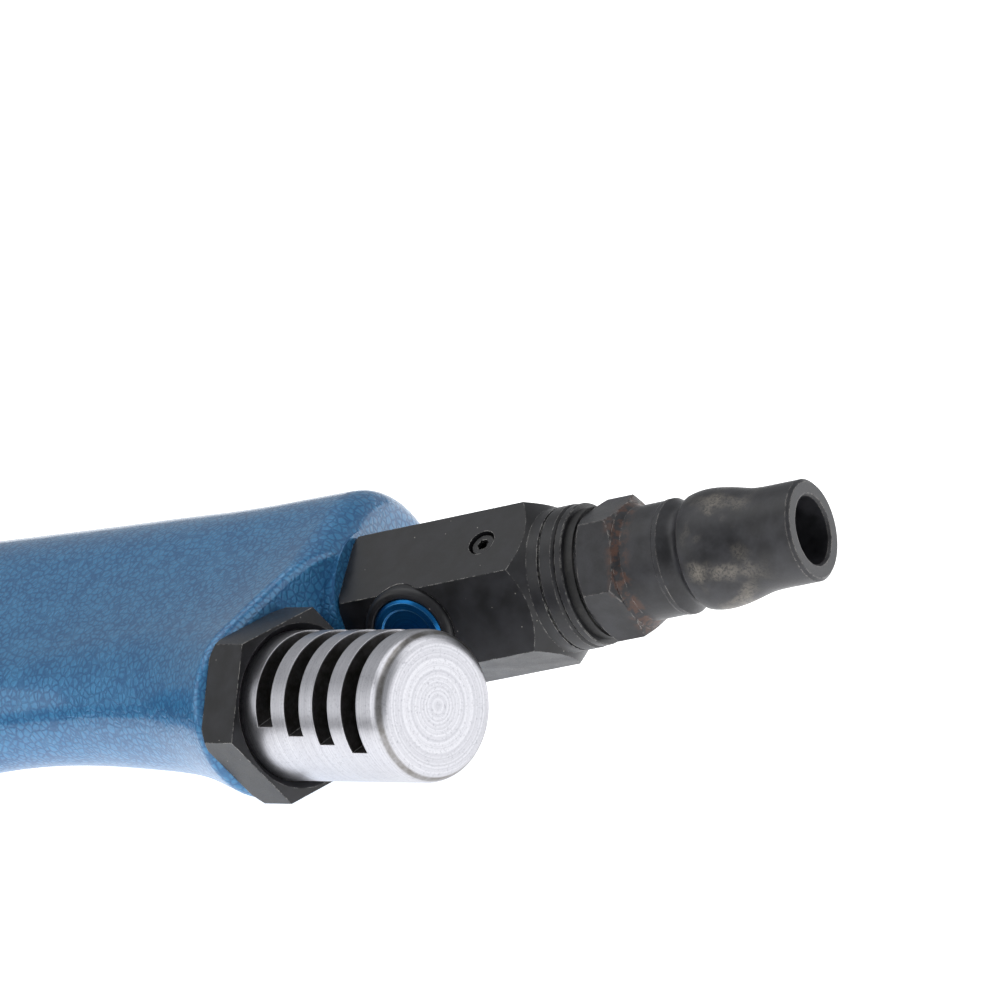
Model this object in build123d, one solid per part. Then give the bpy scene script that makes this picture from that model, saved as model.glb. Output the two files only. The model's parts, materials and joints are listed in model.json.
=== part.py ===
from build123d import *
from math import asin, cos, pi, radians, sin, sqrt, tan
import os

# Pistol-grip riveting hammer, in millimetres.
#
# The model is drawn in the directions of the grip's end: +Y runs up the inlet axis into the
# grip, +X backwards, away from the work, and +Z out of the tool's left side.  The drawing's
# zero is the point where the inlet axis meets its seat under the grip.  At the end the whole
# tool is turned so that the barrel runs along +X, and moved so that it lies on its right side
# with the row's origin under its middle.

# ---------------------------------------------------------------- driving dimensions
# end of the grip: exhaust at the front, inlet at the back
EXHAUST_TILT = 19.8        # exhaust axis, leaning forwards from the inlet axis, degrees
AXIS_SPACING = 20.4        # between the two axes, along the end face
SEAT_DEPTH = 1.0           # how far the inlet's seat lies behind the end face at its axis
END_EDGE = 1.1             # painted edge round the end face
INLET_EDGE = 3.4           # softer edge behind the inlet
INLET_BOSS = 10.2          # radius of the pad that carries the inlet block

# grip: a front and a rear round, joined by flat sides
GRIP_RAKE = 13.0           # grip axis, from the inlet axis, degrees
GRIP_FOOT = (-10.6, 2.8)   # where the grip axis meets the end face
# stations up the grip: height, centres of the front and the rear round, and their radii
GRIP_STATIONS = (
    (-14.0, -10.2, 15.5, 13.5, 12.9),
    (0.0, -9.2, 15.5, 11.0, 12.9),
    (4.0, -8.5, 15.2, 10.2, 12.9),
    (9.0, -6.6, 14.5, 9.7, 12.9),
    (15.0, -4.8, 13.5, 9.3, 12.9),
    (23.0, -3.7, 12.7, 8.8, 12.9),
    (35.0, -3.5, 12.5, 7.8, 12.8),
    (48.0, -4.4, 12.4, 7.4, 12.6),
    (62.0, -6.0, 12.2, 8.0, 12.5),
    (76.0, -7.0, 12.2, 8.8, 12.5),
    (88.0, -7.5, 12.6, 9.2, 12.7),
    (98.0, -8.0, 13.2, 9.4, 13.0),
    (112.0, -8.5, 13.8, 9.5, 13.2),
)

# head, measured along the barrel; the barrel is square to the exhaust
GRIP_LENGTH = 122.0        # up the grip axis to the barrel's axis
GRIP_AT = 17.0             # the grip axis, from the barrel's zero
HEAD_BACK = -18.0
HEAD_FRONT = 46.0
HEAD_RADIUS = 21.5
HEAD_FRONT_RADIUS = 20.8
HEAD_DOME = 11.0           # rounding of the back of the head
HEAD_FILLET = 8.0          # between grip and head
CHAMBER_BACK = -8.0
CHAMBER_RADIUS = 14.5

# barrel, piston and rivet set
BARREL_BACK = 27.0
BARREL_NOSE = 172.0
BARREL_RADIUS = 13.0
PISTON_BORE = 7.15         # 9/16 inch
SHANK_BORE = 5.15          # for a 0.401 inch shank
SHANK_BORE_START = 136.0
PISTON_BACK = 28.0
PISTON_LENGTH = 30.0
STROKE = 76.0              # from the piston at its back stop to the set's shank, 3 inches
SET_SHANK = 5.09
SET_TIP = 214.0            # working face of the rivet set
CUP_RADIUS = 3.0
CUP_DEPTH = 1.4

# retainer spring, screwed on the nose
SPRING_WIRE = 1.3
SPRING_NOSE_RADIUS = 12.6
SPRING_END_RADIUS = 9.6
SPRING_START = 157.5
SPRING_TURNS_ON_NOSE = 4.6
SPRING_TURNS_OPEN = 2.0    # ahead of the nose, at full width
SPRING_TURNS_NARROWING = 2.0
SPRING_TURNS_CLOSED = 0.9  # round the body of the rivet set

# throttle, across the grip
THROTTLE_HEIGHT = 76.0     # up the grip axis
VALVE_SEAT = -2.0          # forward of the grip axis
SLOT_FLOOR = 6.5           # bottom of the trigger's slot, forward of the grip axis
TRIGGER_PIVOT = (12.0, 92.0)   # forward of, and up, the grip axis
TRIGGER_BACK = 10.5        # back of the trigger, forward of the grip axis
TRIGGER_HALF_WIDTH = 4.9
SLOT_HALF_WIDTH = 5.2
LUG_HALF_WIDTH = 8.5
PIN_RADIUS = 2.0

# exhaust muffler and its lock nut, measured out from the end face
MUFFLER_RADIUS = 8.33      # 3/8 inch pipe thread
MUFFLER_BORE = 5.2
MUFFLER_LENGTH = 28.0
MUFFLER_THREAD = 6.0       # how deep it screws into the grip
MUFFLER_EDGE = 1.7
SLOT_WIDTH = 2.5
SLOT_FIRST = 7.3
SLOT_PITCH = 4.73
SLOT_FLOOR_FIRST = 1.87    # floor of the first slot above the muffler's axis
SLOT_FLOOR_STEP = -1.02
SLOT_COUNT = 4
NUT_FLATS = 19.0
NUT_THICKNESS = 5.4
NUT_CLOCKING = 52.6        # angle of a corner from the line of the two axes, degrees

# inlet block, swivel and hose plug, measured out from the inlet seat
BLOCK_FLATS = 17.0
BLOCK_LENGTH = 22.1
BLOCK_CLOCKING = 84.0
COLLAR_RADIUS = 8.1
COLLAR_START = 23.8
COLLAR_END = 27.2
SPINDLE_AT = 7.9
SPINDLE_RADIUS = 4.2
SWIVEL_BORE = 6.5
BALL_RACE_AT = 17.9
BALL_RADIUS = 1.2
BALL_COUNT = 14
PLUG_FLATS = 14.0
PLUG_CLOCKING = 54.0
PLUG_HEX_START = 29.6
PLUG_HEX_END = 34.0
PLUG_BORE = 3.8
PLUG_NOSE = 5.7            # radius of the straight nose that a coupling's seal slides over
PLUG_TIP = 55.6
THREAD_RADIUS = 6.55       # 1/4 inch pipe thread
THREAD_LENGTH = 11.0

# fits
RUNNING = 0.05             # radial play of a moving fit
SEATED = 0.02              # radial play of a screwed or pressed fit

# ---------------------------------------------------------------- places
TILT = radians(EXHAUST_TILT)
RAKE = radians(GRIP_RAKE)
EXHAUST_FOOT = (-AXIS_SPACING * cos(TILT), AXIS_SPACING * sin(TILT) - SEAT_DEPTH, 0)

# local z runs out of the grip's end, local x backwards and local y to the tool's left
INLET = Plane(origin=(0, 0, 0), x_dir=(1, 0, 0), z_dir=(0, -1, 0))
EXHAUST = Plane(origin=EXHAUST_FOOT, x_dir=(cos(TILT), -sin(TILT), 0),
                z_dir=(-sin(TILT), -cos(TILT), 0))


def grip_point(forward, height):
    """A point in the tool's middle plane, from its place along the grip."""
    x = GRIP_FOOT[0] + height * sin(RAKE) - forward * cos(RAKE)
    y = GRIP_FOOT[1] + height * cos(RAKE) + forward * sin(RAKE)
    return (x, y, 0)


def grip_plane(height):
    """Across the grip: local x backwards, local z up the grip."""
    return Plane(origin=grip_point(0, height), x_dir=(cos(RAKE), -sin(RAKE), 0),
                 z_dir=(sin(RAKE), cos(RAKE), 0))


# local x forwards, local y up the grip, local z to the tool's right
GRIP_SIDE = Plane(origin=grip_point(0, 0), x_dir=(-cos(RAKE), sin(RAKE), 0), z_dir=(0, 0, -1))
# local z runs forwards out of the grip, local x up the grip
THROTTLE = Plane(origin=grip_point(0, THROTTLE_HEIGHT), x_dir=(sin(RAKE), cos(RAKE), 0),
                 z_dir=(-cos(RAKE), sin(RAKE), 0))
# local z runs along the barrel towards the work, local x points up
MUZZLE = Vector(-cos(TILT), sin(TILT), 0)
BARREL = Plane(origin=Vector(*grip_point(0, GRIP_LENGTH)) - MUZZLE * GRIP_AT,
               x_dir=(sin(TILT), cos(TILT), 0), z_dir=MUZZLE)


# ---------------------------------------------------------------- shapes
def turned(*points):
    """A turned solid about local z, from its (radius, z) outline."""
    outline = make_face(Polyline(*[(r, 0, z) for r, z in points], close=True))
    return revolve(outline, Axis.Z, 360)


def disc(radius, start, end):
    return Pos(0, 0, (start + end) / 2) * Cylinder(radius, end - start)


def ring(outer, inner, start, end):
    return disc(outer, start, end) - disc(inner, start - 1, end + 1)


def torus_ring(centre_radius, wire, at):
    return Pos(0, 0, at) * Torus(centre_radius, wire)


def hex_bar(flats, start, end, clocking):
    """A hexagonal bar along local z, with a corner at the clocking angle."""
    section = RegularPolygon(flats / sqrt(3), 6, rotation=clocking)
    return Pos(0, 0, start) * extrude(section, end - start)


def hex_socket(flats, start, end):
    return hex_bar(flats, start, end, 0)


def polar(radius, angle):
    a = radians(angle)
    return (radius * cos(a), radius * sin(a))


def tapered_slot(front, rear, front_radius, rear_radius):
    """Outline of two rounds joined by their tangent lines."""
    lean = asin((front_radius - rear_radius) / (rear - front))
    s, c = sin(lean), cos(lean)
    rear_left = (rear + rear_radius * s, rear_radius * c)
    rear_right = (rear + rear_radius * s, -rear_radius * c)
    front_left = (front + front_radius * s, front_radius * c)
    front_right = (front + front_radius * s, -front_radius * c)
    return make_face([
        ThreePointArc(rear_right, (rear + rear_radius, 0), rear_left),
        Line(rear_left, front_left),
        ThreePointArc(front_left, (front - front_radius, 0), front_right),
        Line(front_right, rear_right),
    ])


def flat_faces(solid, direction):
    """The solid's flat faces that look along a direction, largest first."""
    faces = [f for f in solid.faces().filter_by(GeomType.PLANE)
             if f.normal_at().dot(direction) > 0.999]
    return sorted(faces, key=lambda f: -f.area)


def rim_edges(face):
    """The outer edges of a face, without those that run straight across the tool."""
    return [e for e in face.outer_wire().edges() if abs(e.tangent_at(0.5).Z) < 0.99
            or e.geom_type != GeomType.LINE]


def circles_at(solid, z, smallest=0.0):
    return [e for e in solid.edges().filter_by(GeomType.CIRCLE)
            if abs(e.center().Z - z) < 1e-4 and e.radius > smallest]


# ---------------------------------------------------------------- handle
def handle_casting():
    """Grip and head as one casting, still solid."""
    sections = [grip_plane(h) * tapered_slot(*rounds) for h, *rounds in GRIP_STATIONS]
    grip = loft(sections)
    # the end face lies square to the exhaust, and behind the ridge square to the inlet
    reach = 200
    below_exhaust = EXHAUST * Pos(0, 0, reach / 2) * Box(reach, reach, reach)
    ridge = -SEAT_DEPTH / tan(TILT)
    below_inlet = Pos(ridge + reach / 2, -reach / 2, 0) * Box(reach, reach, reach)
    grip = grip - below_exhaust - below_inlet

    head = turned((0, HEAD_BACK), (HEAD_RADIUS, HEAD_BACK), (HEAD_FRONT_RADIUS, HEAD_FRONT),
                  (0, HEAD_FRONT))
    head = fillet(circles_at(head, HEAD_BACK), HEAD_DOME)
    head = fillet(circles_at(head, HEAD_FRONT), 1.5)
    body = grip + BARREL * head

    joint = [e for e in body.edges() if e.geom_type == GeomType.BSPLINE
             and -HEAD_RADIUS - 6 < BARREL.to_local_coords(e.center()).X < -6]
    body = fillet(joint, HEAD_FILLET)
    down = Vector(0, -1, 0)
    body = fillet(rim_edges(flat_faces(body, down)[0]), INLET_EDGE)
    return fillet(rim_edges(flat_faces(body, EXHAUST.z_dir)[0]), END_EDGE)


def trigger_lugs():
    """The two cheeks under the head that carry the trigger's pin."""
    forward, height = TRIGGER_PIVOT
    nose = 5.6
    root = -5
    outline = make_face([
        Line((root, height - nose), (forward, height - nose)),
        ThreePointArc((forward, height - nose), (forward + nose, height),
                      (forward, height + nose)),
        Line((forward, height + nose), (forward, height + nose + 8)),
        Line((forward, height + nose + 8), (root, height + nose + 8)),
        Line((root, height + nose + 8), (root, height - nose)),
    ])
    return GRIP_SIDE * Pos(0, 0, -LUG_HALF_WIDTH) * extrude(outline, 2 * LUG_HALF_WIDTH)


def passage(start, end, right, radius):
    """A drilling in the grip between two places forward of, and up, its axis."""
    run = Vector(*end, right) - Vector(*start, right)
    drilling = Plane(origin=(*start, right), z_dir=run) * disc(radius, 0, run.length)
    return GRIP_SIDE * drilling


def handle():
    body = handle_casting() + trigger_lugs()
    nut_room = EXHAUST * disc(NUT_FLATS / sqrt(3) + 0.3, 0, 12)
    body = body + (INLET * disc(INLET_BOSS, -6, 0) - nut_room)

    # inlet and exhaust threads with the drillings behind them
    body = body - INLET * disc(THREAD_RADIUS + SEATED, -13, 1)
    body = body - INLET * disc(5.5, -18, 0)
    body = body - EXHAUST * disc(MUFFLER_RADIUS + SEATED, -MUFFLER_THREAD - 0.3, 1)
    body = body - EXHAUST * disc(MUFFLER_BORE, -18, 0)
    live, spent = -6.5, 3.0
    body = body - passage((-6, 13), (-6, THROTTLE_HEIGHT), live, 2.8)
    body = body - passage((0, THROTTLE_HEIGHT), (0, 112), 0, 2.4)
    body = body - passage((8, 14), (-16.5, 74), spent, 3.2)
    body = body - passage((-16.5, 71), (-16.5, 112), spent, 3.5)

    # valve chamber in the head
    body = body - BARREL * disc(CHAMBER_RADIUS, CHAMBER_BACK, HEAD_FRONT + 1)

    # throttle bore, trigger slot and pin hole
    body = body - THROTTLE * disc(5.8, VALVE_SEAT - 10.2, VALVE_SEAT + 1)
    body = body - THROTTLE * disc(6.5 + SEATED, VALVE_SEAT, SLOT_FLOOR + 1)
    forward, height = TRIGGER_PIVOT
    slot_low = height - 35
    slot_high = height + 7
    slot = Box(30, slot_high - slot_low, 2 * SLOT_HALF_WIDTH)
    body = body - GRIP_SIDE * Pos(SLOT_FLOOR + 15, (slot_low + slot_high) / 2, 0) * slot
    pin_hole = disc(PIN_RADIUS + SEATED, -LUG_HALF_WIDTH - 1, LUG_HALF_WIDTH + 1)
    return body - GRIP_SIDE * Pos(forward, height, 0) * pin_hole


# ---------------------------------------------------------------- trigger and throttle
def trigger():
    """Lever hung on its pin, with a hollow front for the finger."""
    forward, height = TRIGGER_PIVOT
    eye = 4.6
    tip = height - 33.5
    outline = make_face([
        ThreePointArc((forward - eye, height), (forward, height + eye), (forward + eye, height)),
        Spline((forward + eye, height), (forward + 6.0, height - 15), (forward + 10.0, tip + 2.5),
               tangents=((0.0, -1.0), (0.35, -0.9))),
        ThreePointArc((forward + 10.0, tip + 2.5), (forward + 9.6, tip + 0.4),
                      (forward + 7.6, tip - 0.3)),
        Line((forward + 7.6, tip - 0.3), (forward + 3.4, tip + 1.4)),
        Spline((forward + 3.4, tip + 1.4), (TRIGGER_BACK, THROTTLE_HEIGHT),
               tangents=((-0.35, 0.9), (0.0, 1.0))),
        Line((TRIGGER_BACK, THROTTLE_HEIGHT), (TRIGGER_BACK, height - 7)),
        Spline((TRIGGER_BACK, height - 7), (forward - eye, height),
               tangents=((-0.2, 1.0), (0.0, 1.0))),
    ])
    blank = Pos(0, 0, -TRIGGER_HALF_WIDTH) * extrude(outline, 2 * TRIGGER_HALF_WIDTH)
    sides = [e for f in blank.faces().filter_by(Axis.Z) for e in f.edges()]
    blank = fillet(sides, 0.8)
    bore = disc(PIN_RADIUS + RUNNING, -10, 10)
    return GRIP_SIDE * (blank - Pos(forward, height, 0) * bore)


def trigger_pin():
    pin = chamfer(circles_at(disc(PIN_RADIUS, -8.4, 8.4), 8.4), 0.3)
    pin = chamfer(circles_at(pin, -8.4), 0.3)
    return GRIP_SIDE * Pos(*TRIGGER_PIVOT) * pin


def throttle_bushing():
    neck = VALVE_SEAT + 5
    body = turned((2.0 + RUNNING, SLOT_FLOOR), (2.0 + RUNNING, neck), (4, neck), (4, VALVE_SEAT),
                  (5.2, VALVE_SEAT), (5.7, VALVE_SEAT + 0.5), (6.5, VALVE_SEAT + 0.5),
                  (6.5, SLOT_FLOOR - 0.4), (6.1, SLOT_FLOOR))
    for turn in range(4):
        port = Rot(0, 0, 90 * turn) * Pos(5, 0, VALVE_SEAT + 2.5) * Rot(0, 90, 0)
        body = body - port * Cylinder(1.3, 6)
    groove = ring(7.5, 5.8, VALVE_SEAT + 6.2, VALVE_SEAT + 7.4)
    return THROTTLE * (body - groove)


def throttle_valve():
    """Poppet and stem in one piece."""
    seal_face = VALVE_SEAT - 0.8
    back = seal_face - 2.4
    tip = TRIGGER_BACK - 0.1
    body = turned((0, back), (4.6, back), (5.0, back + 0.4), (5.0, seal_face), (1.9, seal_face),
                  (1.9, VALVE_SEAT + 3.5), (2.0, VALVE_SEAT + 4.5), (2.0, tip - 0.9), (1.0, tip),
                  (0, tip))
    return THROTTLE * body


def throttle_seal():
    """Rubber face of the poppet."""
    return THROTTLE * ring(4.9, 1.9, VALVE_SEAT - 0.8, VALVE_SEAT - 0.05)


def coil(radius, wire, start, turns, pitch):
    """A helical spring about local z."""
    path = Helix(pitch, pitch * turns, radius)
    section = Plane(origin=path @ 0, z_dir=path % 0) * Circle(wire)
    return Pos(0, 0, start) * sweep(section, path=path)


def throttle_spring():
    """Return spring, drawn at the length it has with the trigger fully pulled."""
    return THROTTLE * coil(3.6, 0.4, VALVE_SEAT - 9.7, 2.4, 0.95)


def bushing_oring():
    return THROTTLE * torus_ring(6.15, 0.34, VALVE_SEAT + 6.8)


# ---------------------------------------------------------------- valve and barrel
PLATE_FRONT = -4.8
BODY_FRONT = 17.0
VALVE_FIT = CHAMBER_RADIUS - RUNNING
DOWEL_RADIUS = 1.0
DOWEL_CIRCLE = 11.4


def dowel_holes(start, end):
    hole = disc(DOWEL_RADIUS + SEATED, start, end)
    return [Pos(*polar(DOWEL_CIRCLE, angle), 0) * hole for angle in (90, 270)]


def valve_gasket():
    return BARREL * ring(VALVE_FIT, 9.5, CHAMBER_BACK, CHAMBER_BACK + 0.5)


def valve_back_plate():
    body = disc(VALVE_FIT, CHAMBER_BACK + 0.5, PLATE_FRONT)
    for angle in range(0, 360, 60):
        body = body - Pos(*polar(6.5, angle), -6) * Cylinder(1.0, 10)
    for hole in dowel_holes(-9, 0):
        body = body - hole
    return BARREL * body


def valve_body():
    """Stepped sleeve that the impact valve shuttles in."""
    body = disc(VALVE_FIT, PLATE_FRONT, BODY_FRONT)
    body = body - disc(10.0 + RUNNING, PLATE_FRONT - 1, 8) - disc(8.0 + RUNNING, 7, BODY_FRONT + 1)
    body = body - ring(20, 12.9, 0, 6) - ring(20, 12.9, 10, 14)
    for angle in range(30, 390, 60):
        for along in (3.0, 12.0):
            port = Pos(0, 0, along) * Rot(0, 0, angle) * Pos(11, 0, 0) * Rot(0, 90, 0)
            body = body - port * Cylinder(1.1, 8)
    for hole in dowel_holes(-9, 30):
        body = body - hole
    return BARREL * body


def impact_valve():
    """Stepped spool that sends air to either end of the piston."""
    body = turned((4, -4.4), (9.6, -4.4), (10, -4.0), (10, 5), (8, 5), (8, 13.6), (7.6, 14), (4, 14))
    for along in (-2, 1):
        body = body - ring(11, 9.7, along, along + 0.8)
    return BARREL * body


def valve_front_plate():
    body = disc(VALVE_FIT, BODY_FRONT, BARREL_BACK - 0.6)
    body = body - disc(PISTON_BORE, BODY_FRONT - 1, BARREL_BACK) - ring(20, 12.9, 19.5, 25)
    for angle in range(0, 360, 60):
        port = Pos(0, 0, 22) * Rot(0, 0, angle) * Pos(10, 0, 0) * Rot(0, 90, 0)
        body = body - port * Cylinder(1.2, 8)
    for hole in dowel_holes(10, 24):
        body = body - hole
    return BARREL * body


def valve_dowels():
    pin = disc(DOWEL_RADIUS, CHAMBER_BACK + 0.6, 23.5)
    return [BARREL * Pos(*polar(DOWEL_CIRCLE, angle), 0) * pin for angle in (90, 270)]


def barrel_gasket():
    return BARREL * ring(VALVE_FIT, 8.5, BARREL_BACK - 0.6, BARREL_BACK)


def barrel():
    """Screwed into the head, bored for the piston and, at the nose, for the set's shank."""
    thread = CHAMBER_RADIUS - SEATED
    flange_back, flange_front = HEAD_FRONT + 1.6, HEAD_FRONT + 10
    nose = SPRING_NOSE_RADIUS - SPRING_WIRE - SEATED
    body = turned(
        (0, BARREL_BACK), (thread - 0.8, BARREL_BACK), (thread, BARREL_BACK + 0.8),
        (thread, HEAD_FRONT - 2), (13.4, HEAD_FRONT - 1), (13.4, flange_back),
        (17.4, flange_back), (18, flange_back + 0.6), (18, flange_front - 1.2),
        (16.8, flange_front), (14.2, flange_front), (BARREL_RADIUS + 0.4, flange_front + 1.2),
        (BARREL_RADIUS, 70), (12.7, 146), (12.7, 153.4), (12.3, 153.8), (nose, 155),
        (nose, BARREL_NOSE - 0.8), (nose - 0.8, BARREL_NOSE), (0, BARREL_NOSE))
    body = body - disc(PISTON_BORE, BARREL_BACK - 1, SHANK_BORE_START)
    body = body - disc(SHANK_BORE, SHANK_BORE_START - 1, BARREL_NOSE + 1)
    body = body - turned((0, BARREL_NOSE - 0.8), (SHANK_BORE, BARREL_NOSE - 0.8),
                         (SHANK_BORE + 0.9, BARREL_NOSE + 0.1), (0, BARREL_NOSE + 0.1))
    # wrench flats across the flange
    for side in (-1, 1):
        flat = Box(10, 60, flange_front - flange_back + 2)
        body = body - Pos(side * (16 + 5), 0, (flange_back + flange_front) / 2 + 0.8) * flat
    # relief holes half-way along, open while the piston is ahead of them
    for angle in range(0, 360, 60):
        port = Pos(0, 0, 104) * Rot(0, 0, angle) * Pos(10, 0, 0) * Rot(0, 90, 0)
        body = body - port * Cylinder(1.2, 10)
    return BARREL * body


def barrel_lock_washer():
    body = ring(17.2, 13.5, HEAD_FRONT, HEAD_FRONT + 1.6)
    for angle in range(0, 360, 30):
        body = body - Pos(*polar(18.2, angle), HEAD_FRONT) * Cylinder(1.5, 8)
    return BARREL * body


def piston():
    back = PISTON_BACK
    front = back + PISTON_LENGTH
    r = PISTON_BORE - RUNNING
    body = turned((0, back), (r - 0.8, back), (r, back + 0.8), (r, front - 5), (r - 2.2, front - 3),
                  (r - 2.2, front - 0.5), (r - 2.7, front), (0, front))
    for along in (6, 12, 18):
        body = body - ring(9, r - 0.35, back + along, back + along + 0.8)
    return BARREL * body


def rivet_set():
    """Shank, collar and body, with a cupped working face."""
    shank_back = PISTON_BACK + PISTON_LENGTH + STROKE
    collar = BARREL_NOSE + 0.2
    profile = make_face([
        Line((0, shank_back), (SET_SHANK - 0.8, shank_back)),
        Line((SET_SHANK - 0.8, shank_back), (SET_SHANK, shank_back + 0.8)),
        Line((SET_SHANK, shank_back + 0.8), (SET_SHANK, collar)),
        Line((SET_SHANK, collar), (9.2, collar)),
        Line((9.2, collar), (9.8, collar + 0.6)),
        Line((9.8, collar + 0.6), (9.8, collar + 4.2)),
        ThreePointArc((9.8, collar + 4.2), (8.3, collar + 5.3), (7.6, collar + 7)),
        Line((7.6, collar + 7), (7.6, SET_TIP - 11)),
        ThreePointArc((7.6, SET_TIP - 11), (6.6, SET_TIP - 5.6), (5.4, SET_TIP - 0.5)),
        Line((5.4, SET_TIP - 0.5), (4.9, SET_TIP)),
        Line((4.9, SET_TIP), (0, SET_TIP)),
        Line((0, SET_TIP), (0, shank_back)),
    ])
    body = revolve(Plane.XZ * profile, Axis.Z, 360)
    ball = (CUP_RADIUS ** 2 + CUP_DEPTH ** 2) / (2 * CUP_DEPTH)
    return BARREL * (body - Pos(0, 0, SET_TIP + ball - CUP_DEPTH) * Sphere(ball))


def retainer_spring():
    """Beehive spring: close turns on the nose, then turns that narrow round the set."""
    points_per_turn = 12
    close_pitch, open_pitch = 3.2, 5.6
    free_turns = SPRING_TURNS_OPEN + SPRING_TURNS_NARROWING
    turns = SPRING_TURNS_ON_NOSE + free_turns + SPRING_TURNS_CLOSED
    points = []
    along = SPRING_START
    for step in range(int(turns * points_per_turn) + 1):
        turn = step / points_per_turn
        free = min(max((turn - SPRING_TURNS_ON_NOSE) / free_turns, 0.0), 1.0)
        share = min(max((turn - SPRING_TURNS_ON_NOSE - SPRING_TURNS_OPEN)
                        / SPRING_TURNS_NARROWING, 0.0), 1.0)
        narrowing = share * share * (3 - 2 * share)
        radius = SPRING_NOSE_RADIUS + (SPRING_END_RADIUS - SPRING_NOSE_RADIUS) * narrowing
        points.append((*polar(radius, 360 * turn), along))
        pitch = close_pitch + (open_pitch - close_pitch) * sin(pi * free) ** 2
        along += pitch / points_per_turn
    path = Spline(*points)
    section = Plane(origin=path @ 0, z_dir=path % 0) * Circle(SPRING_WIRE)
    return BARREL * sweep(section, path=path, is_frenet=True)


# ---------------------------------------------------------------- exhaust
def muffler_lock_nut():
    corner = NUT_FLATS / sqrt(3)
    body = hex_bar(NUT_FLATS, 0, NUT_THICKNESS, NUT_CLOCKING)
    body = body & turned((0, 0), (10.3, 0), (corner + 0.1, 0.9), (corner + 0.1, NUT_THICKNESS),
                         (0, NUT_THICKNESS))
    body = body - disc(MUFFLER_RADIUS + SEATED, -1, NUT_THICKNESS + 1)
    lead_in = turned((0, NUT_THICKNESS - 0.8), (MUFFLER_RADIUS, NUT_THICKNESS - 0.8),
                     (MUFFLER_RADIUS + 0.9, NUT_THICKNESS + 0.1), (0, NUT_THICKNESS + 0.1))
    return EXHAUST * (body - lead_in)


def exhaust_muffler():
    """Tube closed at its outer end, with slots sawn across its right side."""
    body = disc(MUFFLER_RADIUS, -MUFFLER_THREAD, MUFFLER_LENGTH)
    body = fillet(circles_at(body, MUFFLER_LENGTH), MUFFLER_EDGE)
    body = chamfer(circles_at(body, -MUFFLER_THREAD), 0.8)
    body = body - disc(MUFFLER_BORE, -MUFFLER_THREAD - 1, MUFFLER_LENGTH - 2.4)
    for index in range(SLOT_COUNT):
        start = SLOT_FIRST + index * SLOT_PITCH
        floor = SLOT_FLOOR_FIRST + index * SLOT_FLOOR_STEP
        cut = Box(30, 20, SLOT_WIDTH)
        body = body - Pos(0, floor + 10, start + SLOT_WIDTH / 2) * cut
    return EXHAUST * body


# ---------------------------------------------------------------- inlet
# the spindle crosses the block from face to face; local z points out of its blue end
SPINDLE_ANGLE = BLOCK_CLOCKING + 90
FILL_ANGLE = BLOCK_CLOCKING + 30
BLOCK_FACE = BLOCK_FLATS / 2


def across_block(angle, height):
    """Local z out through the block's side at an angle, from the block's axis."""
    x, y = polar(1, angle)
    return INLET * Plane(origin=(0, 0, height), x_dir=(0, 0, 1), z_dir=(x, y, 0))


SPINDLE = across_block(SPINDLE_ANGLE, SPINDLE_AT)
FILL = across_block(FILL_ANGLE, BALL_RACE_AT)


def inlet_block():
    """Hexagonal regulator body that ends in the swivel's round collar."""
    corner = BLOCK_FLATS / sqrt(3)
    blank = hex_bar(BLOCK_FLATS, 0, COLLAR_END, BLOCK_CLOCKING)
    blank = blank & turned((0, 0), (9.3, 0), (corner + 0.1, 0.5), (corner + 0.1, BLOCK_LENGTH),
                           (COLLAR_RADIUS, COLLAR_START), (COLLAR_RADIUS, COLLAR_END - 0.3),
                           (COLLAR_RADIUS - 0.3, COLLAR_END), (0, COLLAR_END))
    blank = blank - ring(10, COLLAR_RADIUS - 0.22, 25.2, 25.5)
    nipple = turned((0, -THREAD_LENGTH), (THREAD_RADIUS - 0.9, -THREAD_LENGTH),
                    (THREAD_RADIUS, -THREAD_LENGTH + 0.9), (THREAD_RADIUS, -1.6), (5.9, -1.2),
                    (5.9, 0.5), (0, 0.5))
    body = blank + nipple
    body = body - disc(4, -THREAD_LENGTH - 1, 15) - disc(SWIVEL_BORE, 13.6, COLLAR_END + 1)
    body = body - torus_ring(SWIVEL_BORE, BALL_RADIUS + RUNNING, BALL_RACE_AT)
    body = INLET * body
    body = body - SPINDLE * disc(SPINDLE_RADIUS + RUNNING, -12, 12)
    body = body - SPINDLE * disc(5.45 + SEATED, 6.5, 12)
    return body - FILL * disc(1.6 + SEATED, 5, 12)


def inlet_screen():
    """Perforated disc that keeps dirt out of the handle."""
    body = disc(5.4, -THREAD_LENGTH - 1.0, -THREAD_LENGTH - 0.1)
    for circle, count in ((0.0, 1), (1.8, 6), (3.6, 12)):
        for index in range(count):
            body = body - Pos(*polar(circle, 360 * index / count), -THREAD_LENGTH) * Cylinder(0.55, 6)
    return INLET * body


def ball_fill_screw():
    """Closes the hole that the swivel's balls go in by, and carries a piece of their race."""
    face = BLOCK_FACE - 0.35
    body = turned((0, 6.75), (1.35, 6.75), (1.6, 7.0), (1.6, face - 0.3), (1.3, face), (0, face))
    screw = FILL * (body - hex_socket(1.3, face - 0.9, face + 1))
    return screw - INLET * torus_ring(SWIVEL_BORE, BALL_RADIUS + RUNNING, BALL_RACE_AT)


def regulator_ring():
    """Black ring round the visible end of the spindle."""
    out = BLOCK_FACE + 0.75
    body = ring(5.45, SPINDLE_RADIUS + RUNNING, 6.5, out)
    body = fillet(circles_at(body, out, 5.0), 0.7)
    return SPINDLE * fillet(circles_at(body, out), 0.25)


KNOB_START = 9.2
KNOB_END = 13.6
KNOB_RADIUS = 5.2


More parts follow.
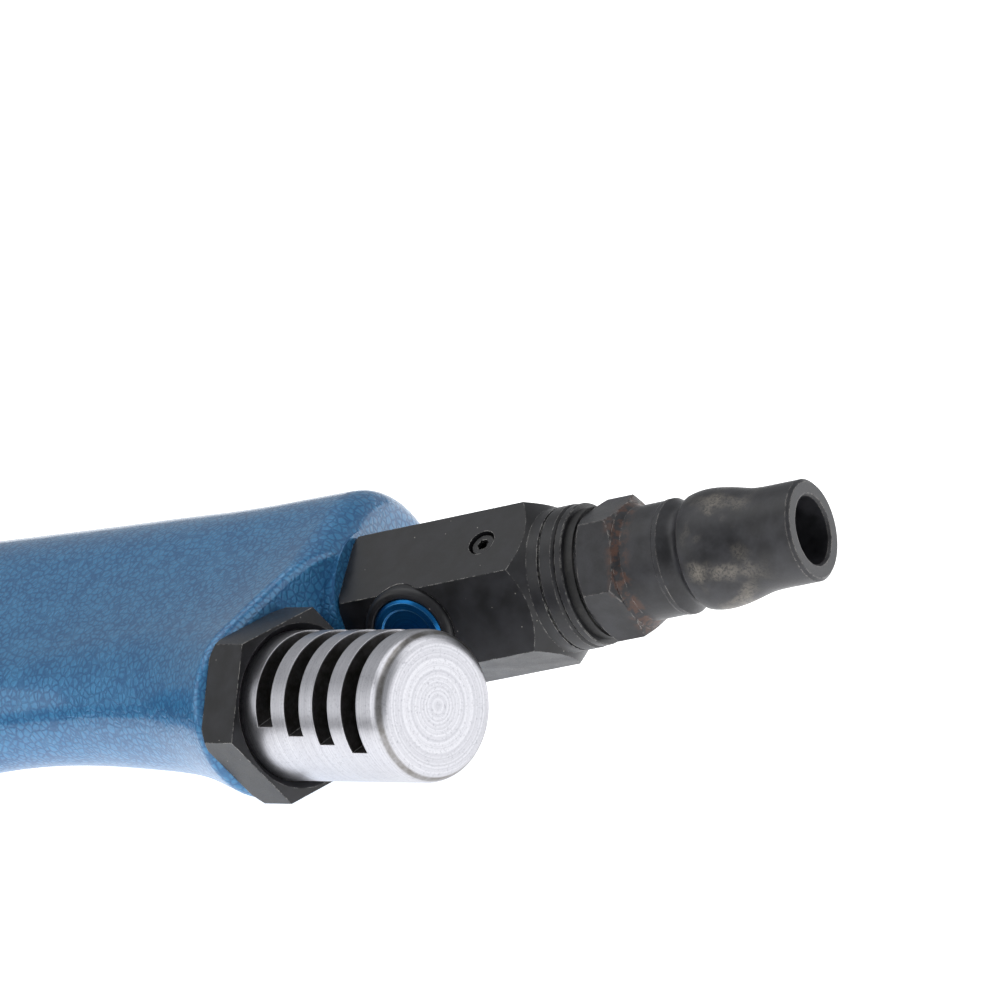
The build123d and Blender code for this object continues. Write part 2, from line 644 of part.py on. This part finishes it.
def regulator_spindle():
    """Meters the air by turning a notch across the block's bore."""
    end = BLOCK_FACE + 0.95
    body = turned((0, -KNOB_END + 1.2), (2.2, -KNOB_END + 1.2), (2.2, -KNOB_START),
                  (3.4, -KNOB_START), (3.4, -8.4), (SPINDLE_RADIUS, -8.0),
                  (SPINDLE_RADIUS, end - 0.35), (SPINDLE_RADIUS - 0.35, end), (3.1, end),
                  (2.95, end - 0.2), (0, end - 0.2))
    notch = Pos(0, 2.2, 0) * Rot(0, 90, 0) * Cylinder(3.4, 12)
    body = body - notch
    for along in (-6.6, 5.2):
        body = body - ring(6, SPINDLE_RADIUS - 0.85, along - 0.5, along + 0.5)
    return SPINDLE * body


def regulator_orings():
    return [SPINDLE * torus_ring(SPINDLE_RADIUS - 0.42, 0.42, along) for along in (-6.6, 5.2)]


def regulator_knob():
    """Knurled knob on the far end of the spindle."""
    body = ring(KNOB_RADIUS, 2.2 + SEATED, -KNOB_END, -KNOB_START)
    body = chamfer(circles_at(body, -KNOB_END, 4), 0.6)
    body = chamfer(circles_at(body, -KNOB_START, 4), 0.3)
    for index in range(24):
        notch = Pos(*polar(KNOB_RADIUS + 0.25, 15 * index), -(KNOB_END + KNOB_START) / 2)
        body = body - notch * Cylinder(0.45, 6)
    return SPINDLE * (body - disc(3.0, -KNOB_END - 1, -KNOB_END + 1.2))


def knob_screw():
    head = disc(2.9, -KNOB_END + 0.1, -KNOB_END + 1.18)
    return SPINDLE * (head - hex_socket(2.5, -KNOB_END, -KNOB_END + 0.8))


def swivel_sleeve():
    """Turns in the block on its balls and carries the hose plug."""
    outer = SWIVEL_BORE - RUNNING
    body = turned((3.4, 14.2), (outer - 0.5, 14.2), (outer, 14.7), (outer, COLLAR_END + 0.1),
                  (7.9, COLLAR_END + 0.1), (8.0, COLLAR_END + 0.2), (8.0, 28.1), (7.9, 28.2),
                  (4.9, 28.2), (4.9, 20), (3.4, 20))
    body = body - torus_ring(SWIVEL_BORE, BALL_RADIUS + RUNNING, BALL_RACE_AT)
    return INLET * (body - ring(7, 5.6, 22.0, 23.4))


def swivel_balls():
    step = 360 / BALL_COUNT
    return [INLET * Pos(*polar(SWIVEL_BORE, FILL_ANGLE + step * (index + 0.5)), BALL_RACE_AT)
            * Sphere(BALL_RADIUS) for index in range(BALL_COUNT)]


def swivel_oring():
    return INLET * torus_ring(6.02, 0.42, 22.7)


def plug_seal():
    return INLET * ring(7.35, 4.9, 28.2, 29.25)


def hose_plug():
    """Quick-connect plug with a hexagon, screwed into the swivel."""
    corner = PLUG_FLATS / sqrt(3)
    hexagon = hex_bar(PLUG_FLATS, PLUG_HEX_START, PLUG_HEX_END, PLUG_CLOCKING)
    hexagon = hexagon & turned((0, PLUG_HEX_START), (7.2, PLUG_HEX_START),
                               (corner + 0.1, PLUG_HEX_START + 0.6), (corner + 0.1, PLUG_HEX_END - 0.6),
                               (7.2, PLUG_HEX_END), (0, PLUG_HEX_END))
    z = PLUG_HEX_END
    outline = make_face([
        Line((3, 20.4), (4.4, 20.4)),
        Line((4.4, 20.4), (4.88, 20.9)),
        Line((4.88, 20.9), (4.88, 29.25)),
        Line((4.88, 29.25), (7.0, 29.25)),
        Line((7.0, 29.25), (7.0, z)),
        Line((7.0, z), (6.4, z + 0.8)),
        Line((6.4, z + 0.8), (6.4, z + 4.7)),
        Line((6.4, z + 4.7), (6.5, z + 4.9)),
        Line((6.5, z + 4.9), (6.5, z + 5.4)),
        Spline((6.5, z + 5.4), (5.65, z + 7.0), (6.45, z + 8.0),
               tangents=((-0.6, 0.7), (0.75, 0.5))),
        Spline((6.45, z + 8.0), (6.7, z + 9.4), (6.07, z + 14.0), (PLUG_NOSE, z + 17.6),
               tangents=((0.3, 1.0), (0.0, 1.0))),
        Line((PLUG_NOSE, z + 17.6), (PLUG_NOSE, PLUG_TIP - 0.35)),
        Line((PLUG_NOSE, PLUG_TIP - 0.35), (PLUG_NOSE - 0.35, PLUG_TIP)),
        Line((PLUG_NOSE - 0.35, PLUG_TIP), (PLUG_BORE + 0.25, PLUG_TIP)),
        Line((PLUG_BORE + 0.25, PLUG_TIP), (PLUG_BORE, PLUG_TIP - 0.3)),
        Line((PLUG_BORE, PLUG_TIP - 0.3), (PLUG_BORE, 34)),
        Line((PLUG_BORE, 34), (3, 33)),
        Line((3, 33), (3, 20.4)),
    ])
    body = revolve(Plane.XZ * outline, Axis.Z, 360)
    return INLET * (body + (hexagon - disc(6, 20, 40)))


# ---------------------------------------------------------------- the tool
NODES = (
    handle, trigger, trigger_pin, throttle_bushing, throttle_valve, throttle_seal,
    throttle_spring, bushing_oring, valve_gasket, valve_back_plate, valve_body, impact_valve,
    valve_front_plate, valve_dowels, barrel_gasket, barrel, barrel_lock_washer, piston,
    rivet_set, retainer_spring, muffler_lock_nut, exhaust_muffler, inlet_block, inlet_screen,
    ball_fill_screw, regulator_ring, regulator_spindle, regulator_orings, regulator_knob,
    knob_screw, swivel_sleeve, swivel_balls, swivel_oring, plug_seal, hose_plug,
)


def as_shape(made):
    return Compound(children=made) if isinstance(made, list) else made


# the barrel comes to lie along +X, and the exhaust points along +Y
TURN = Rot(0, 0, EXHAUST_TILT - 180)
SHAPES = {make.__name__: TURN * as_shape(make()) for make in NODES}
BOXES = [shape.bounding_box() for shape in SHAPES.values()]
LOW = Vector(*(min(getattr(box.min, axis) for box in BOXES) for axis in "XYZ"))
HIGH = Vector(*(max(getattr(box.max, axis) for box in BOXES) for axis in "XYZ"))
# the row's origin: under the middle of the tool, on the surface that it lies on
ORIGIN = Vector((LOW.X + HIGH.X) / 2, (LOW.Y + HIGH.Y) / 2, LOW.Z)

os.makedirs("parts", exist_ok=True)
for name, shape in SHAPES.items():
    export_step(Location(-ORIGIN) * shape, f"parts/{name}.step")
print("origin", ORIGIN, "size", HIGH - LOW)
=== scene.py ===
import bpy
import json
from math import cos, radians, sin
from mathutils import Matrix, Vector


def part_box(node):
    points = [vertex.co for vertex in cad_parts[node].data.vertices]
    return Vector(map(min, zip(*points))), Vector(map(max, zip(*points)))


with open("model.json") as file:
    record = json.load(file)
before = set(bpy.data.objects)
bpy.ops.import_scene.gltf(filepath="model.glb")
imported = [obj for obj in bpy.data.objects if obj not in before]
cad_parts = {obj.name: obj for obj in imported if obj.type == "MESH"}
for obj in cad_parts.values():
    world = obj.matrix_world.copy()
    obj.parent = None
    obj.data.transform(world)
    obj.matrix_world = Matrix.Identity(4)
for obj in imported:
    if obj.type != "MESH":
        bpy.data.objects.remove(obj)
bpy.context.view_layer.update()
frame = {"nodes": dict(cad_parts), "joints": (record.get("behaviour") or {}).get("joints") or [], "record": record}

MM = 0.001

# ------------------------------------------------------------------ places, from the frame
JOINTS = {joint["name"]: joint for joint in frame["joints"]}
SWIVEL_CENTRE = Vector(JOINTS["swivel_spin"]["pos_m"])
INLET_AXIS = Vector(JOINTS["swivel_spin"]["axis"])
SPINDLE_CENTRE = Vector(JOINTS["regulator_turn"]["pos_m"])
SPINDLE_AXIS = Vector(JOINTS["regulator_turn"]["axis"])
BARREL_AXIS = Vector(JOINTS["piston_stroke"]["axis"])
UP = Vector((0, 0, 1))
BACKWARDS = -INLET_AXIS.cross(UP)


def direction(backwards, inwards, up):
    """A direction from its parts: to the grip's back, up the inlet's axis, and straight up."""
    return (backwards * BACKWARDS - inwards * INLET_AXIS + up * UP).normalized()


EXHAUST_TILT = radians(19.8)
EXHAUST_AXIS = direction(-sin(EXHAUST_TILT), -cos(EXHAUST_TILT), 0)
GRIP_RAKE = radians(13.0)
GRIP_AXIS = direction(sin(GRIP_RAKE), cos(GRIP_RAKE), 0)


def middle(node):
    low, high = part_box(node)
    return (low + high) / 2


MUFFLER_MIDDLE = middle("exhaust_muffler")
MUFFLER_END = (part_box("exhaust_muffler")[1].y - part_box("exhaust_muffler")[0].y) / 2
BARREL_CENTRE = middle("piston")

# ------------------------------------------------------------------ camera and lamps
CAMERA_BACK = direction(-0.8117, -0.4969, 0.307)
CAMERA_LEAN = direction(0.4424, -0.1798, 0.8786)
CAMERA_DISTANCE = 0.7709       # from the swivel's centre
CAMERA_RIGHT = -0.0021
CAMERA_ABOVE = 0.0100
CAMERA_LENS = 248.9            # millimetres, on a sensor 36 mm wide
# name, place from the muffler's middle, width, height and power of each softbox
LAMPS = (
    ("top_light", (-0.06, -0.13, 0.9), 0.9, 0.9, 3.5),
    ("left_light", (0.67, -0.40, 0.45), 0.7, 0.7, 2.0),
    ("right_light", (-0.55, 0.65, 0.35), 0.5, 0.7, 1.4),
)
FLOOR_HALF_SIZE = 3.0
FLOOR_GLOW = 0.9
WORLD_LIGHT = 0.42


# ------------------------------------------------------------------ node trees
class Tree:
    """A material's node tree, with one short call for each kind of node."""

    def __init__(self, name):
        self.material = bpy.data.materials.new(name)
        self.material.use_nodes = True
        self.nodes = self.material.node_tree.nodes
        self.links = self.material.node_tree.links
        self.nodes.clear()
        coordinates = self.nodes.new("ShaderNodeTexCoord")
        self.place = coordinates.outputs["Object"]

    def set(self, socket, value):
        if hasattr(value, "is_output"):
            self.links.new(value, socket)
        else:
            socket.default_value = value

    def math(self, operation, a, b):
        node = self.nodes.new("ShaderNodeMath")
        node.operation = operation
        self.set(node.inputs[0], a)
        self.set(node.inputs[1], b)
        return node.outputs[0]

    def vector(self, operation, a, b=(0, 0, 0)):
        node = self.nodes.new("ShaderNodeVectorMath")
        node.operation = operation
        self.set(node.inputs[0], a)
        self.set(node.inputs[1], b)
        return node.outputs["Value" if operation in ("DOT_PRODUCT", "LENGTH") else "Vector"]

    def ramp(self, value, low, high, start=0.0, end=1.0):
        """Smooth step from start to end as the value goes from low to high."""
        node = self.nodes.new("ShaderNodeMapRange")
        node.interpolation_type = "SMOOTHSTEP"
        for socket, setting in zip(node.inputs, (value, low, high, start, end)):
            self.set(socket, setting)
        return node.outputs[0]

    def blend(self, factor, a, b):
        """Colour a where the factor is 0 and colour b where it is 1."""
        node = self.nodes.new("ShaderNodeMix")
        node.data_type = "RGBA"
        self.set(node.inputs[0], factor)
        self.set(node.inputs[6], a)
        self.set(node.inputs[7], b)
        return node.outputs[2]

    def noise(self, size, detail=2.0, roughness=0.5, place=None):
        node = self.nodes.new("ShaderNodeTexNoise")
        self.set(node.inputs["Vector"], self.place if place is None else place)
        node.inputs["Scale"].default_value = 1 / size
        node.inputs["Detail"].default_value = detail
        node.inputs["Roughness"].default_value = roughness
        return node.outputs[0]

    def cells(self, size, feature="F1"):
        """Distance from a cell's middle, or with another feature from its border."""
        node = self.nodes.new("ShaderNodeTexVoronoi")
        node.feature = feature
        self.set(node.inputs["Vector"], self.place)
        node.inputs["Scale"].default_value = 1 / size
        return node.outputs["Distance"]

    def stretched(self, direction, factor):
        """Places squeezed along a direction, so that a pattern read there is drawn out by the factor."""
        along = self.vector("DOT_PRODUCT", self.place, direction)
        node = self.nodes.new("ShaderNodeVectorMath")
        node.operation = "SCALE"
        self.set(node.inputs[0], direction)
        self.set(node.inputs["Scale"], self.math("MULTIPLY", along, 1 / factor - 1))
        return self.vector("ADD", self.place, node.outputs[0])

    def along(self, centre, axis):
        """Distance along an axis from a centre."""
        return self.vector("DOT_PRODUCT", self.vector("SUBTRACT", self.place, centre), axis)

    def radius(self, centre, axis):
        """Distance from an axis."""
        arm = self.vector("CROSS_PRODUCT", self.vector("SUBTRACT", self.place, centre), axis)
        return self.vector("LENGTH", arm)

    def edge(self, width, low=0.02, high=0.16):
        """1 on the part's edges and 0 away from them."""
        bevel = self.nodes.new("ShaderNodeBevel")
        bevel.samples = 4
        bevel.inputs["Radius"].default_value = width
        geometry = self.nodes.new("ShaderNodeNewGeometry")
        facing = self.vector("DOT_PRODUCT", bevel.outputs[0], geometry.outputs["Normal"])
        return self.ramp(self.math("SUBTRACT", 1.0, facing), low, high)

    def rounded(self, width):
        """A normal that rounds the part's edges off."""
        bevel = self.nodes.new("ShaderNodeBevel")
        bevel.samples = 6
        bevel.inputs["Radius"].default_value = width
        return bevel.outputs[0]

    def specks(self, spacing, size):
        """Scattered dots: 1 inside a dot."""
        return self.ramp(self.cells(spacing), size / spacing, 0.5 * size / spacing)

    def bump(self, height, depth, normal=None):
        """A height between 0 and 1 becomes a relief of that depth."""
        node = self.nodes.new("ShaderNodeBump")
        node.inputs["Strength"].default_value = 1.0
        node.inputs["Distance"].default_value = depth
        self.set(node.inputs["Height"], height)
        if normal is not None:
            self.set(node.inputs["Normal"], normal)
        return node.outputs[0]

    def finish(self, colour, roughness, metallic=0.0, normal=None, **settings):
        shader = self.nodes.new("ShaderNodeBsdfPrincipled")
        self.set(shader.inputs["Base Color"], colour)
        self.set(shader.inputs["Roughness"], roughness)
        self.set(shader.inputs["Metallic"], metallic)
        if normal is not None:
            self.set(shader.inputs["Normal"], normal)
        for name, value in settings.items():
            self.set(shader.inputs[name.replace("_", " ")], value)
        output = self.nodes.new("ShaderNodeOutputMaterial")
        self.links.new(shader.outputs[0], output.inputs["Surface"])
        return self.material


def paint(red, green, blue):
    """A colour given as it looks on a screen, 0 to 255."""
    def linear(value):
        value /= 255
        return value / 12.92 if value <= 0.04045 else ((value + 0.055) / 1.055) ** 2.4
    return (linear(red), linear(green), linear(blue), 1.0)


# ------------------------------------------------------------------ materials
def hammer_paint():
    """Blue hammertone enamel: small rounded cells, drawn out into ripples along the grip."""
    t = Tree("blue_hammer_paint")
    warp = t.noise(2.6 * MM, 2.0, 0.6)
    cell = t.ramp(t.cells(0.85 * MM, "DISTANCE_TO_EDGE"), 0.0, 0.24)
    fine = t.noise(0.38 * MM, 3.0, 0.65)
    streaks = t.noise(0.8 * MM, 3.0, 0.6, t.stretched(GRIP_AXIS, 6.0))
    depth = t.ramp(warp, 0.35, 0.65, 0.25, 0.75)
    height = t.math("ADD", t.math("MULTIPLY", cell, depth), t.math("MULTIPLY", fine, 0.6))
    height = t.math("ADD", height, t.math("MULTIPLY", streaks, 0.7))
    tone = t.math("ADD", t.math("MULTIPLY", cell, 0.4), t.math("MULTIPLY", fine, 0.7))
    colour = t.blend(t.ramp(tone, 0.3, 0.95), paint(24, 88, 136), paint(54, 126, 174))
    colour = t.blend(t.ramp(warp, 0.4, 0.75, 0.0, 0.3), colour, paint(66, 138, 184))
    normal = t.bump(height, 0.06 * MM)
    return t.finish(colour, t.ramp(tone, 0.2, 1.0, 0.44, 0.34), 0.3, normal,
                    Coat_Weight=0.6, Coat_Roughness=0.14)


def black_oxide():
    """Blackened steel, oiled: fine grain, dust, and bare metal along its edges."""
    t = Tree("black_steel")
    blotch = t.noise(3.0 * MM, 3.0, 0.6)
    grain = t.noise(0.12 * MM, 2.0, 0.7)
    colour = t.blend(t.ramp(blotch, 0.3, 0.75), paint(17, 17, 19), paint(36, 36, 40))
    broken = t.ramp(t.noise(0.7 * MM, 3.0, 0.75), 0.44, 0.6)
    bare = t.math("MULTIPLY", t.math("MULTIPLY", t.edge(0.16 * MM), broken), 0.8)
    colour = t.blend(bare, colour, paint(190, 188, 184))
    dots = t.math("MULTIPLY", t.specks(1.5 * MM, 0.09 * MM), 0.7)
    colour = t.blend(dots, colour, paint(170, 165, 158))
    rough = t.ramp(t.math("ADD", blotch, grain), 0.6, 1.4, 0.30, 0.48)
    normal = t.bump(grain, 0.006 * MM, t.rounded(0.12 * MM))
    return t.finish(colour, rough, t.math("MULTIPLY", bare, 0.9), normal, Specular_IOR_Level=0.42)


def turned_aluminium():
    """Bare aluminium with the lathe's rings on its end and round its side; painted shade inside its slots and a
    painted highlight on its edges.
    """
    t = Tree("bare_aluminium")
    r = t.radius(MUFFLER_MIDDLE, EXHAUST_AXIS)
    z = t.along(MUFFLER_MIDDLE, EXHAUST_AXIS)
    ring_place = t.nodes.new("ShaderNodeCombineXYZ")
    t.set(ring_place.inputs[0], r)
    t.set(ring_place.inputs[1], z)
    rings = t.noise(0.22 * MM, 3.0, 0.7, ring_place.outputs[0])
    grain = t.noise(0.15 * MM, 3.0, 0.75)
    # Painted shade: inside the slots and bore, away from the end face, the metal is painted darker.
    inside = t.ramp(r, 8.25 * MM, 8.05 * MM)
    on_end = t.ramp(z, MUFFLER_END - 0.5 * MM, MUFFLER_END - 0.3 * MM)
    painted_shade_inside = t.math("MULTIPLY", inside, t.math("SUBTRACT", 1.0, on_end))
    specks = t.ramp(t.noise(0.3 * MM, 3.0, 0.8), 0.52, 0.7)
    colour = t.blend(t.ramp(rings, 0.3, 0.7), paint(176, 176, 182), paint(200, 200, 205))
    colour = t.blend(t.math("MULTIPLY", specks, 0.5), colour, paint(128, 128, 136))
    # Painted shade, in patches: the inside is painted a darker, brownish grey.
    stain_and_shade = t.ramp(t.noise(1.6 * MM, 3.0, 0.7), 0.3, 0.7, 0.55, 0.9)
    colour = t.blend(t.math("MULTIPLY", painted_shade_inside, stain_and_shade), colour, paint(104, 100, 94))
    # Painted highlight: the edges are painted near white.
    edges = t.edge(0.12 * MM, 0.02, 0.2)
    colour = t.blend(t.math("MULTIPLY", edges, 0.8), colour, paint(240, 240, 240))
    height = t.math("ADD", t.math("MULTIPLY", rings, 0.6), t.math("MULTIPLY", grain, 0.4))
    normal = t.bump(height, 0.012 * MM, t.rounded(0.1 * MM))
    return t.finish(colour, t.ramp(grain, 0.2, 0.8, 0.26, 0.38), 1.0, normal)


def anodised():
    """Blue anodised aluminium, turned, with a painted highlight on its edges."""
    t = Tree("blue_anodised")
    r = t.radius(SPINDLE_CENTRE, SPINDLE_AXIS)
    ring_place = t.nodes.new("ShaderNodeCombineXYZ")
    t.set(ring_place.inputs[0], r)
    rings = t.noise(0.18 * MM, 2.0, 0.6, ring_place.outputs[0])
    grain = t.noise(0.2 * MM, 2.0, 0.7)
    colour = t.blend(t.ramp(rings, 0.3, 0.7), paint(10, 78, 134), paint(22, 98, 156))
    # Painted highlight: the edges are painted pale cyan.
    edges = t.math("MULTIPLY", t.edge(0.15 * MM), 0.7)
    colour = t.blend(edges, colour, paint(130, 200, 230))
    height = t.math("ADD", t.math("MULTIPLY", rings, 0.6), t.math("MULTIPLY", grain, 0.3))
    return t.finish(colour, 0.24, 0.9, t.bump(height, 0.006 * MM, t.rounded(0.12 * MM)))


def steel(name, tone, rough, axis=None, centre=None):
    """Ground or turned steel; with an axis, marks run round it."""
    t = Tree(name)
    if axis is None:
        marks = t.noise(0.2 * MM, 3.0, 0.7)
    else:
        mark_place = t.nodes.new("ShaderNodeCombineXYZ")
        t.set(mark_place.inputs[0], t.radius(centre, axis))
        t.set(mark_place.inputs[1], t.along(centre, axis))
        marks = t.noise(0.3 * MM, 4.0, 0.7, mark_place.outputs[0])
    stain_and_shade = t.noise(5.0 * MM, 3.0, 0.6)
    stained = paint(*[0.72 * part for part in tone])
    marked = paint(*[0.6 * part for part in tone])
    colour = t.blend(t.ramp(stain_and_shade, 0.35, 0.75), paint(*tone), stained)
    colour = t.blend(t.ramp(marks, 0.35, 0.7, 0.0, 0.3), colour, marked)
    return t.finish(colour, t.ramp(marks, 0.2, 0.8, rough - 0.06, rough + 0.1), 1.0,
                    t.bump(marks, 0.006 * MM, t.rounded(0.15 * MM)))


def brass():
    """Tarnished brass."""
    t = Tree("brass")
    stain_and_shade = t.noise(2.0 * MM, 3.0, 0.6)
    grain = t.noise(0.15 * MM, 2.0, 0.7)
    colour = t.blend(t.ramp(stain_and_shade, 0.3, 0.7), paint(196, 160, 88), paint(156, 118, 58))
    return t.finish(colour, t.ramp(grain, 0.2, 0.8, 0.25, 0.4), 1.0, t.bump(grain, 0.005 * MM))


def rubber():
    """Black rubber with a grey bloom."""
    t = Tree("rubber")
    bloom = t.noise(1.5 * MM, 3.0, 0.6)
    grain = t.noise(0.1 * MM, 2.0, 0.7)
    colour = t.blend(t.ramp(bloom, 0.4, 0.8), paint(24, 24, 25), paint(46, 45, 44))
    return t.finish(colour, t.ramp(grain, 0.2, 0.8, 0.5, 0.7), 0.0, t.bump(grain, 0.01 * MM))


def worn_plug():
    """Blackened plug, rubbed bare where couplings bear on it and rusty behind its hexagon."""
    t = Tree("worn_black_steel")
    z = t.along(SWIVEL_CENTRE, INLET_AXIS)
    blotch = t.noise(2.5 * MM, 3.0, 0.6)
    grain = t.noise(0.14 * MM, 2.0, 0.75)
    colour = t.blend(t.ramp(blotch, 0.3, 0.75), paint(26, 26, 29), paint(50, 50, 54))
    rub = t.noise(4.5 * MM, 2.0, 0.5)
    bulge = t.math("MULTIPLY", t.ramp(z, 24 * MM, 26 * MM), t.ramp(z, 35 * MM, 29 * MM))
    rubbed = t.math("MULTIPLY", bulge, t.ramp(rub, 0.48, 0.66))
    rubbed = t.math("MULTIPLY", rubbed, t.ramp(t.noise(0.35 * MM, 3.0, 0.8), 0.3, 0.6))
    colour = t.blend(t.math("MULTIPLY", rubbed, 0.5), colour, paint(150, 143, 132))
    rust = t.math("MULTIPLY", t.ramp(z, 15 * MM, 16.4 * MM), t.ramp(z, 18.6 * MM, 16.8 * MM))
    rust = t.math("MULTIPLY", rust, t.ramp(t.noise(1.2 * MM, 3.0, 0.7), 0.42, 0.62))
    colour = t.blend(t.math("MULTIPLY", rust, 0.55), colour, paint(96, 62, 44))
    chips = t.math("MULTIPLY", t.edge(0.24 * MM), t.ramp(t.noise(0.8 * MM, 3.0, 0.75), 0.4, 0.58))
    colour = t.blend(t.math("MULTIPLY", chips, 0.75), colour, paint(176, 172, 168))
    bare = t.math("MAXIMUM", t.math("MULTIPLY", chips, 0.8), t.math("MULTIPLY", rubbed, 0.4))
    rough = t.ramp(t.math("ADD", blotch, grain), 0.6, 1.4, 0.32, 0.5)
    normal = t.bump(grain, 0.012 * MM, t.rounded(0.2 * MM))
    return t.finish(colour, rough, bare, normal, Specular_IOR_Level=0.42)


LOOKS = {
    "blue_hammer_paint": hammer_paint(),
    "black_steel": black_oxide(),
    "worn_black_steel": worn_plug(),
    "bare_aluminium": turned_aluminium(),
    "blue_anodised": anodised(),
    "bright_steel": steel("bright_steel", (176, 176, 178), 0.3),
    "ground_steel": steel("ground_steel", (150, 150, 152), 0.26, BARREL_AXIS, BARREL_CENTRE),
    "spring_steel": steel("spring_steel", (84, 80, 76), 0.34),
    "brass": brass(),
    "rubber": rubber(),
}

for part in frame["record"]["subparts"]:
    piece = frame["nodes"][part["node"]]
    piece.data.materials.clear()
    piece.data.materials.append(LOOKS[part["material_slot"]])


# ------------------------------------------------------------------ studio
def floor():
    """White and faintly glowing, so that it takes no grey from the tool's shadow."""
    mesh = bpy.data.meshes.new("floor")
    size = FLOOR_HALF_SIZE
    corners = [(-size, -size, 0), (size, -size, 0), (size, size, 0), (-size, size, 0)]
    mesh.from_pydata(corners, [], [(0, 1, 2, 3)])
    piece = bpy.data.objects.new("floor", mesh)
    bpy.context.scene.collection.objects.link(piece)
    t = Tree("floor_white")
    white = t.finish(paint(246, 246, 246), 0.9, Emission_Color=(1, 1, 1, 1),
                     Emission_Strength=FLOOR_GLOW)
    piece.data.materials.append(white)


def softbox(name, offset, width, height, power):
    """A soft lamp that faces the muffler's middle."""
    data = bpy.data.lights.new(name, "AREA")
    data.shape = "RECTANGLE"
    data.size = width
    data.size_y = height
    data.energy = power
    lamp = bpy.data.objects.new(name, data)
    bpy.context.scene.collection.objects.link(lamp)
    lamp.location = MUFFLER_MIDDLE + Vector(offset)
    lamp.rotation_euler = (-Vector(offset)).to_track_quat("-Z", "Y").to_euler()


def surroundings():
    """White where the camera sees it, and dimmer as a light on the tool."""
    world = bpy.data.worlds.new("studio")
    bpy.context.scene.world = world
    world.use_nodes = True
    nodes, links = world.node_tree.nodes, world.node_tree.links
    nodes.clear()
    path = nodes.new("ShaderNodeLightPath")
    seen = nodes.new("ShaderNodeBackground")
    seen.inputs["Color"].default_value = (1, 1, 1, 1)
    lighting = nodes.new("ShaderNodeBackground")
    lighting.inputs["Color"].default_value = (0.96, 0.98, 1.0, 1)
    lighting.inputs["Strength"].default_value = WORLD_LIGHT
    choice = nodes.new("ShaderNodeMixShader")
    output = nodes.new("ShaderNodeOutputWorld")
    links.new(path.outputs["Is Camera Ray"], choice.inputs[0])
    links.new(lighting.outputs[0], choice.inputs[1])
    links.new(seen.outputs[0], choice.inputs[2])
    links.new(choice.outputs[0], output.inputs["Surface"])


def camera():
    """Off the grip's end, to its front and a little above it, leaning."""
    right = CAMERA_LEAN.cross(CAMERA_BACK).normalized()
    above = CAMERA_BACK.cross(right)
    place = SWIVEL_CENTRE + CAMERA_DISTANCE * CAMERA_BACK
    place = place + CAMERA_RIGHT * right + CAMERA_ABOVE * above
    data = bpy.data.cameras.new("camera")
    data.sensor_width = 36
    data.lens = CAMERA_LENS
    data.clip_start = 0.01
    seat = bpy.data.objects.new("camera", data)
    bpy.context.scene.collection.objects.link(seat)
    turn = Matrix((right, above, CAMERA_BACK)).transposed().to_4x4()
    seat.matrix_world = Matrix.Translation(place) @ turn
    bpy.context.scene.camera = seat


floor()
surroundings()
camera()
for lamp_settings in LAMPS:
    softbox(*lamp_settings)
bpy.context.scene.view_settings.view_transform = "Standard"
